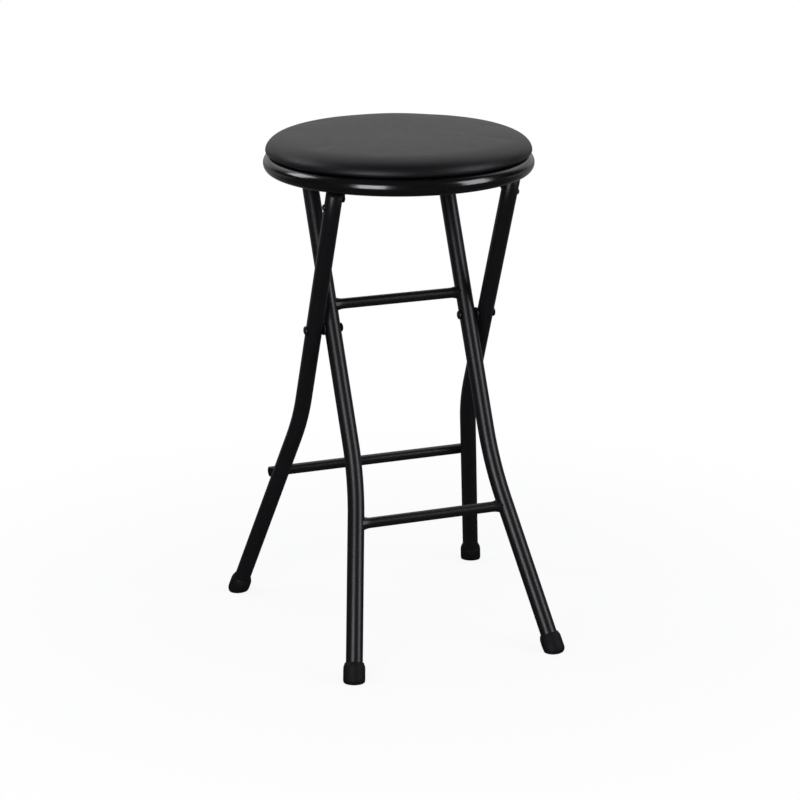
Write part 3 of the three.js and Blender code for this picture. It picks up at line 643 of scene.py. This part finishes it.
def make_plug(name, side_frame, side, length, body, node):
    """A moulded plug in a tube's end: its cap overlaps the tube's edge."""
    top = side_frame.top + GAP
    low = side_frame.top - length
    shank = TUBE_RADIUS - TUBE_WALL - GAP
    profile = [
        (0, low), (shank - PLUG_BEVEL[0], low), (shank, low + PLUG_BEVEL[1]), (shank, top),
        *[(TUBE_RADIUS - inset, top + up) for inset, up in PLUG_CAP],
        (0, top + PLUG_CAP[-1][1]),
    ]
    verts, faces = turned(profile, PIN_SIDES)
    place = side_frame.matrix @ Matrix.Translation((side * side_frame.half_width, 0, 0))
    obj = new_object(name, verts, faces, place, PIN_SHARP)
    return finish_piece(obj, plastic, body, node)


# Seat

SEAT_RADIUS = 160.7
BOARD_ABOVE_UNDERSIDE = 1.5
RIM_DROP = 7.6
PAN_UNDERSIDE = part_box("seat_board")[0].z / MM - BOARD_ABOVE_UNDERSIDE
RIM_BOTTOM = PAN_UNDERSIDE - RIM_DROP
ROLL_RADIUS = 10.8
PAN_THICKNESS = 1.2
WALL_SET_IN = 12.4
HEM_SET_IN = 3.4
HEM_LIP = 0.4
HEM_ROUNDING = 0.6
FLOOR_RINGS = (60, 120)
FLOOR_CORNER = 3
FLOOR_FILLET = 2.4
INNER_CORNER = 2
FILLET_STEPS = 5
HEM_STEPS = 6
INNER_ROLL_STEPS = 26
OUTER_ROLL_STEPS = 36
SEAT_SIDES = 192
RIM_TOP = RIM_BOTTOM + 2 * ROLL_RADIUS
COVER_BOTTOM = RIM_TOP + GAP


def make_pan():
    """The pressed pan: flat floor, upright wall, rolled rim and a hemmed lip."""
    centre = (SEAT_RADIUS - ROLL_RADIUS, RIM_BOTTOM + ROLL_RADIUS)
    wall_out = SEAT_RADIUS - WALL_SET_IN
    wall_in = wall_out - PAN_THICKNESS
    inner = ROLL_RADIUS - PAN_THICKNESS
    start = math.acos((wall_out - centre[0]) / inner)
    end = math.acos((wall_in - centre[0]) / ROLL_RADIUS)
    hem = centre[0] - HEM_SET_IN + HEM_LIP
    lip = (hem, RIM_BOTTOM + PAN_THICKNESS / 2)
    corner = (wall_out - FLOOR_FILLET, PAN_UNDERSIDE + FLOOR_FILLET)
    floor_top = PAN_UNDERSIDE + PAN_THICKNESS
    quarter = math.pi / 2
    profile = [
        (0, PAN_UNDERSIDE), *[(radius, PAN_UNDERSIDE) for radius in FLOOR_RINGS],
        (wall_out - FLOOR_CORNER, PAN_UNDERSIDE),
        *arc(corner, FLOOR_FILLET, FLOOR_FILLET, -quarter, 0, FILLET_STEPS),
        *arc(centre, inner, inner, start, -quarter, INNER_ROLL_STEPS),
        (hem, RIM_BOTTOM + PAN_THICKNESS),
        *arc(lip, HEM_ROUNDING, HEM_ROUNDING, quarter, 3 * quarter, HEM_STEPS)[1:],
        *arc(centre, ROLL_RADIUS, ROLL_RADIUS, -quarter, end, OUTER_ROLL_STEPS),
        (wall_in, floor_top + INNER_CORNER), (wall_in - INNER_CORNER, floor_top),
        (FLOOR_RINGS[0], floor_top), (0, floor_top),
    ]
    verts, faces = turned(profile, SEAT_SIDES)
    obj = new_object("pan", verts, faces, Matrix.Translation((0, SEAT_Y, 0)), PAN_SHARP)
    return finish_piece(obj, enamel, "seat", "seat_pan")


CUSHION_SIDES = 128
SIDE_SET_IN = 2.8
TUCK_SET_IN = 13.8
SIDE_RADIUS = SEAT_RADIUS - SIDE_SET_IN
EDGE_WIDTH = 37.0
EDGE_RISE = 23.0
TUCK_RADIUS = SEAT_RADIUS - TUCK_SET_IN
TUCK_DEPTH = 3.5
# Rows between the tuck and the side: distance out from the tuck, height above the bottom
TUCK_RINGS = ((0.7, 0.15), (4.6, -0.1))
TUCKED_ROWS = 4
UNDER_WIDTH = 5.0
UNDER_RISE = 3.6
UNDER_STEPS = 6
EDGE_STEPS = 22
TOP_STEPS = 20
SWELL_SIZE = 55
SWELL_HEIGHT = 0.35
SWELL_PLACE = 3.1
SWELL_FULL = 2
PUCKERS = 36
PUCKER_DEPTH = 0.12
PUCKER_FADE = 3.2
PUCKER_WANDER = 2.2
PUCKER_NOISE = 3
PUCKER_PLACE = 7
TUCKED_LIFT = 0.02
CLOTH_FRAMES = 20
CLOTH_PRESSURE = 0.45
MOST_MOVED = 3.0


def cushion_rows():
    """The cover before it is filled: tucked in at the rim, round at its side, flat on top."""
    widest = COVER_BOTTOM + UNDER_RISE
    under = (SIDE_RADIUS - UNDER_WIDTH, widest)
    rows = [
        (TUCK_RADIUS, COVER_BOTTOM - TUCK_DEPTH),
        *[(TUCK_RADIUS + out, COVER_BOTTOM + up) for out, up in TUCK_RINGS],
        *arc(under, UNDER_WIDTH, UNDER_RISE, -math.pi / 2, 0, UNDER_STEPS),
    ]
    edge_start = SIDE_RADIUS - EDGE_WIDTH
    rise = EDGE_RISE - UNDER_RISE
    rows += arc((edge_start, widest), EDGE_WIDTH, rise, 0, math.pi / 2, EDGE_STEPS)[1:]
    top = COVER_BOTTOM + EDGE_RISE
    rows += [(edge_start * (1 - i / TOP_STEPS), top) for i in range(1, TOP_STEPS)]
    return rows


def settle(obj, pinned):
    """Air pressure fills the cover over its tucked edge. What it moves is capped, and the
    result is written to the mesh."""
    group = obj.vertex_groups.new(name="tucked_edge")
    group.add(pinned, 1.0, "REPLACE")
    cloth = obj.modifiers.new("cloth", "CLOTH")
    fabric = cloth.settings
    fabric.quality = 6
    fabric.mass = 0.3
    fabric.air_damping = 2
    fabric.tension_stiffness = 40
    fabric.compression_stiffness = 40
    fabric.shear_stiffness = 20
    fabric.bending_stiffness = 2
    fabric.tension_damping = 10
    fabric.compression_damping = 10
    fabric.shear_damping = 10
    fabric.use_pressure = True
    fabric.uniform_pressure_force = CLOTH_PRESSURE
    fabric.vertex_group_mass = group.name
    fabric.effector_weights.gravity = 0
    cloth.collision_settings.use_collision = False
    cloth.point_cache.frame_start = 1
    cloth.point_cache.frame_end = CLOTH_FRAMES
    for frame_number in range(1, CLOTH_FRAMES + 1):
        bpy.context.scene.frame_set(frame_number)
    filled = obj.evaluated_get(bpy.context.evaluated_depsgraph_get())
    places = [vertex.co.copy() for vertex in filled.data.vertices]
    obj.modifiers.remove(cloth)
    for vertex, place in zip(obj.data.vertices, places):
        move = place - vertex.co
        vertex.co += move * min(1.0, MOST_MOVED * MM / max(move.length, MM * MM))
    bpy.context.scene.frame_set(1)


def subdivide(obj):
    """One level of smooth subdivision, written to the mesh."""
    modifier = obj.modifiers.new("subdivision", "SUBSURF")
    modifier.levels = 1
    smooth = obj.evaluated_get(bpy.context.evaluated_depsgraph_get())
    mesh = bpy.data.meshes.new_from_object(smooth)
    obj.modifiers.remove(modifier)
    obj.data = mesh


def swell(x, y):
    """Slight hills and hollows of the cover at a place on it."""
    return noise.noise(Vector((x / SWELL_SIZE, y / SWELL_SIZE, SWELL_PLACE))) * SWELL_HEIGHT


def pucker(angle, lift):
    """Small gathers that fade out above the tucked edge."""
    x, y = math.cos(angle), math.sin(angle)
    wander = noise.noise(Vector((x * PUCKER_NOISE, y * PUCKER_NOISE, PUCKER_PLACE)))
    gather = math.sin(angle * PUCKERS + PUCKER_WANDER * wander)
    return gather * (PUCKER_DEPTH * max(0, 1 - lift * PUCKER_FADE))


def make_cushion():
    """The vinyl cover over its foam: a bulging side under a broad, slightly crowned top."""
    rows = cushion_rows()
    verts = []
    for radius, z in rows:
        lift = (z - COVER_BOTTOM) / EDGE_RISE
        for step in range(CUSHION_SIDES):
            angle = 2 * math.pi * step / CUSHION_SIDES
            x, y = math.cos(angle), math.sin(angle)
            if lift > TUCKED_LIFT:
                r = radius + pucker(angle, lift)
                raised = swell(radius * x, radius * y) * min(1, lift * SWELL_FULL)
                verts.append((r * x, r * y, z + raised))
            else:
                verts.append((radius * x, radius * y, z))
    faces = rings_to_faces(len(rows), CUSHION_SIDES, closed=False)
    top = len(verts)
    verts.append((0, 0, COVER_BOTTOM + EDGE_RISE + swell(0, 0)))
    base = (len(rows) - 1) * CUSHION_SIDES
    faces += [(top, base + s, base + (s + 1) % CUSHION_SIDES) for s in range(CUSHION_SIDES)]
    under = len(verts)
    verts.append((0, 0, COVER_BOTTOM - TUCK_DEPTH))
    faces += [(under, (s + 1) % CUSHION_SIDES, s) for s in range(CUSHION_SIDES)]
    obj = new_object("cushion", verts, faces, Matrix.Translation((0, SEAT_Y, 0)), CUSHION_SHARP)
    settle(obj, [*range(TUCKED_ROWS * CUSHION_SIDES), under])
    subdivide(obj)
    finish_piece(obj, vinyl, "seat", "seat_cover")
    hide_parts("seat_foam")


# Everything is put together here

for label, side in SIDES:
    leg = make_leg(f"inner_tube_{label}", INNER, side, "inner_frame")
    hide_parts(f"inner_leg_{label}")
    leg = make_leg(f"outer_tube_{label}", OUTER, side, "outer_frame")
    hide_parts(f"outer_leg_{label}")
    make_foot(f"front_foot_{label}", INNER, side, "inner_frame", f"inner_foot_{label}")
    make_foot(f"rear_foot_{label}", OUTER, side, "outer_frame", f"outer_foot_{label}")
    make_rivet(
        f"crossing_rivet_{label}", INNER, INNER.pivot, side,
        INNER_HALF_WIDTH - TUBE_RADIUS - GAP, OUTER_HALF_WIDTH + TUBE_RADIUS + GAP,
        PIVOT_RIVET, "inner_frame", f"pivot_rivet_{label}",
    )
    make_rivet(
        f"seat_rivet_{label}", OUTER, OUTER.local(HINGE.z), side,
        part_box("hinge_rivet_right")[0].x / MM + HINGE_HEAD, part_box("hinge_rivet_right")[1].x / MM,
        HINGE_RIVET, "outer_frame", f"hinge_rivet_{label}",
    )
    make_rivet(
        f"holding_rivet_{label}", OUTER, OUTER.local(HINGE.z) - PLUG_RIVET_DROP, side,
        OUTER_HALF_WIDTH - TUBE_RADIUS + TUBE_WALL, OUTER_HALF_WIDTH + TUBE_RADIUS + GAP,
        PLUG_RIVET, "outer_frame", f"plug_rivet_{label}",
    )
    make_spacer(label, side)
    make_plug(
        f"inner_cap_{label}", INNER, side, END_PLUG_LENGTH,
        "inner_frame", f"inner_end_plug_{label}",
    )
    make_plug(
        f"hinge_cap_{label}", OUTER, side, HINGE_PLUG_LENGTH,
        "outer_frame", f"hinge_plug_{label}",
    )
    make_rear_weld(label, side, 1)
    make_rear_weld(label, side, -1)
INNER_RUNGS = (("top_rung", TOP_RUNG), ("upper_rung", UPPER_RUNG), ("front_rung", FRONT_RUNG))
for name, middle in INNER_RUNGS:
    make_rung(name, INNER, INNER.local(middle.z), "inner_frame", f"inner_{name}")
make_rear_rung()
make_pan()
make_cushion()


# Floor, light and camera

IMAGE_SIZE = 800
FOCAL_PIXELS = 2559.68
PRINCIPAL_X = 399.16
PRINCIPAL_Y = 391.16
CAMERA_AZIMUTH = math.radians(21.374)
CAMERA_ELEVATION = math.radians(16.5245)
CAMERA_ROLL = -0.0018
CAMERA_DISTANCE = 3111.4
TARGET_HEIGHT = 289.75
SENSOR_WIDTH = 36.0
CLIP_END = 50


def make_camera():
    """The camera that was fitted to the photograph, for a square picture."""
    look = Vector((
        math.sin(CAMERA_AZIMUTH) * math.cos(CAMERA_ELEVATION),
        math.cos(CAMERA_AZIMUTH) * math.cos(CAMERA_ELEVATION),
        -math.sin(CAMERA_ELEVATION),
    ))
    right = look.cross(Vector((0, 0, 1))).normalized()
    up = right.cross(look)
    rolled_right = right * math.cos(CAMERA_ROLL) + up * math.sin(CAMERA_ROLL)
    rolled_up = up * math.cos(CAMERA_ROLL) - right * math.sin(CAMERA_ROLL)
    place = Vector((0, SEAT_Y, TARGET_HEIGHT)) - look * CAMERA_DISTANCE
    data = bpy.data.cameras.new("camera")
    data.sensor_width = SENSOR_WIDTH
    data.lens = FOCAL_PIXELS / IMAGE_SIZE * data.sensor_width
    data.shift_x = (IMAGE_SIZE / 2 - PRINCIPAL_X) / IMAGE_SIZE
    data.shift_y = (PRINCIPAL_Y - IMAGE_SIZE / 2) / IMAGE_SIZE
    data.clip_end = CLIP_END
    data.dof.use_dof = False
    camera = bpy.data.objects.new("camera", data)
    bpy.context.scene.collection.objects.link(camera)
    axes = Matrix((rolled_right, rolled_up, -look)).transposed().to_4x4()
    camera.matrix_world = Matrix.Translation(place * MM) @ axes
    bpy.context.scene.camera = camera


def seen_directly(nodes, links):
    """1 for camera, glossy and transmission rays, 0 for the rays that only light things."""
    rays = nodes.new("ShaderNodeLightPath").outputs
    glossy = combine(nodes, links, "MAXIMUM", rays["Is Camera Ray"], rays["Is Glossy Ray"])
    return combine(nodes, links, "MAXIMUM", glossy, rays["Is Transmission Ray"])


def ramp(nodes, links, value, start, end, low, high):
    """A smooth step of a value between two bounds."""
    step = nodes.new("ShaderNodeMapRange")
    step.interpolation_type = "SMOOTHSTEP"
    step.inputs["From Min"].default_value = start
    step.inputs["From Max"].default_value = end
    step.inputs["To Min"].default_value = low
    step.inputs["To Max"].default_value = high
    links.new(value, step.inputs["Value"])
    return step.outputs["Result"]


def dot_with(nodes, links, vector, direction):
    """How far a vector reaches along a fixed direction."""
    product = nodes.new("ShaderNodeVectorMath")
    product.operation = "DOT_PRODUCT"
    product.inputs[1].default_value = direction
    links.new(vector, product.inputs[0])
    return product.outputs["Value"]


def combine(nodes, links, operation, first, second):
    """A math node that makes one value of two."""
    node = nodes.new("ShaderNodeMath")
    node.operation = operation
    links.new(first, node.inputs[0])
    links.new(second, node.inputs[1])
    return node.outputs["Value"]


# Fixed directions in the room. The white backdrop stands behind the stool, as seen from the
# photograph's side, and reaches overhead. Glossy things mirror it there, and a dim room at
# the sides and in front.
BACKWARD = (math.sin(CAMERA_AZIMUTH), math.cos(CAMERA_AZIMUTH), 0.0)
UPWARD = (0.0, 0.0, 1.0)
BACK_AND_UP = (BACKWARD[0], BACKWARD[1], 0.6)
BACKDROP_EDGE = (0.55, 0.91)
BACKDROP_HEIGHTS = (0.22, 0.55)
FRONT_ROOM = 0.04
LOW_BACKDROP = 0.48
FLOOR_MIRRORED = 0.25
FLOOR_BEHIND = (0.2, 1.6)
FLOOR_SIZE = 24
FLOOR_DROP = 0.0001
FLOOR_COLOUR = (0.9, 0.9, 0.9, 1)
FLOOR_ROUGHNESS = 0.9
FADE_DISTANCES = (0.25, 0.9)
NEAR_WHITE = 0.88
ROOM_COLOUR = (0.9, 0.93, 1.0, 1)
ROOM_STRENGTH = 0.6


def make_floor():
    """A pale floor that goes over into the white backdrop away from the stool."""
    bpy.ops.mesh.primitive_plane_add(size=FLOOR_SIZE)
    floor = bpy.context.object
    floor.name = "floor"
    floor.location.z = -FLOOR_DROP
    material = bpy.data.materials.new("floor")
    material.use_nodes = True
    nodes = material.node_tree.nodes
    links = material.node_tree.links
    shader = nodes["Principled BSDF"]
    shader.inputs["Base Color"].default_value = FLOOR_COLOUR
    shader.inputs["Roughness"].default_value = FLOOR_ROUGHNESS
    shader.inputs["Specular IOR Level"].default_value = 0.0
    white = nodes.new("ShaderNodeEmission")
    mix = nodes.new("ShaderNodeMixShader")
    place = nodes.new("ShaderNodeTexCoord").outputs["Object"]
    rays = nodes.new("ShaderNodeLightPath").outputs
    length = nodes.new("ShaderNodeVectorMath")
    length.operation = "LENGTH"
    links.new(place, length.inputs[0])
    fade = ramp(nodes, links, length.outputs["Value"], *FADE_DISTANCES, NEAR_WHITE, 1.0)
    behind = dot_with(nodes, links, place, BACKWARD)
    mirrored = ramp(nodes, links, behind, *FLOOR_BEHIND, FRONT_ROOM, FLOOR_MIRRORED)
    strength = combine(nodes, links, "MAXIMUM", rays["Is Camera Ray"], mirrored)
    links.new(strength, white.inputs["Strength"])
    shown = combine(nodes, links, "MULTIPLY", rays["Is Camera Ray"], fade)
    through = combine(
        nodes, links, "MAXIMUM", rays["Is Glossy Ray"], rays["Is Transmission Ray"]
    )
    share = combine(nodes, links, "MAXIMUM", shown, through)
    links.new(share, mix.inputs[0])
    links.new(shader.outputs["BSDF"], mix.inputs[1])
    links.new(white.outputs["Emission"], mix.inputs[2])
    links.new(mix.outputs["Shader"], nodes["Material Output"].inputs["Surface"])
    floor.data.materials.append(material)


def make_world():
    """Plain room light, and a white backdrop that shows directly and in glossy things."""
    world = bpy.data.worlds.new("studio")
    bpy.context.scene.world = world
    world.use_nodes = True
    nodes = world.node_tree.nodes
    links = world.node_tree.links
    light = nodes["Background"]
    light.inputs["Color"].default_value = ROOM_COLOUR
    light.inputs["Strength"].default_value = ROOM_STRENGTH
    white = nodes.new("ShaderNodeBackground")
    white.inputs["Color"].default_value = (1, 1, 1, 1)
    direction = nodes.new("ShaderNodeTexCoord").outputs["Generated"]
    rays = nodes.new("ShaderNodeLightPath").outputs
    back_and_up = dot_with(nodes, links, direction, BACK_AND_UP)
    from_behind = ramp(nodes, links, back_and_up, *BACKDROP_EDGE, FRONT_ROOM, 1.0)
    height = dot_with(nodes, links, direction, UPWARD)
    from_above = ramp(nodes, links, height, *BACKDROP_HEIGHTS, LOW_BACKDROP, 1.0)
    mirrored = combine(nodes, links, "MULTIPLY", from_behind, from_above)
    strength = combine(nodes, links, "MAXIMUM", rays["Is Camera Ray"], mirrored)
    links.new(strength, white.inputs["Strength"])
    mix = nodes.new("ShaderNodeMixShader")
    links.new(seen_directly(nodes, links), mix.inputs[0])
    links.new(light.outputs["Background"], mix.inputs[1])
    links.new(white.outputs["Background"], mix.inputs[2])
    links.new(mix.outputs["Shader"], nodes["World Output"].inputs["Surface"])


SOFTBOX_AIM_HEIGHT = 0.35
SOFTBOX_COLOUR = (0.94, 0.93, 1.0)
# Name, turn from the camera's side and elevation in degrees, distance and size in metres,
# and power in watts
SOFTBOXES = (
    ("left_softbox", -22, 10, 2.2, (0.9, 1.4), 22),
    ("right_softbox", 66, 18, 2.2, (0.9, 1.5), 17),
    ("side_softbox", -95, 37.5, 1.23, (0.36, 0.48), 2.35),
)


def add_softbox(name, turn, elevation, distance, size, power):
    """A softbox beside the stool, turned to face it."""
    azimuth = CAMERA_AZIMUTH + math.pi - math.radians(turn)
    raised = math.radians(elevation)
    aim = Vector((0, SEAT_Y * MM, SOFTBOX_AIM_HEIGHT))
    away = Vector((
        math.sin(azimuth) * math.cos(raised),
        math.cos(azimuth) * math.cos(raised),
        math.sin(raised),
    ))
    data = bpy.data.lights.new(name, "AREA")
    data.shape = "RECTANGLE"
    data.size, data.size_y = size
    data.energy = power
    data.color = SOFTBOX_COLOUR
    light = bpy.data.objects.new(name, data)
    light.location = aim + away * distance
    light.rotation_euler = away.to_track_quat("Z", "Y").to_euler()
    light.visible_camera = False
    bpy.context.scene.collection.objects.link(light)


make_camera()
make_floor()
make_world()
for softbox in SOFTBOXES:
    add_softbox(*softbox)
bpy.context.scene.view_settings.view_transform = "Standard"
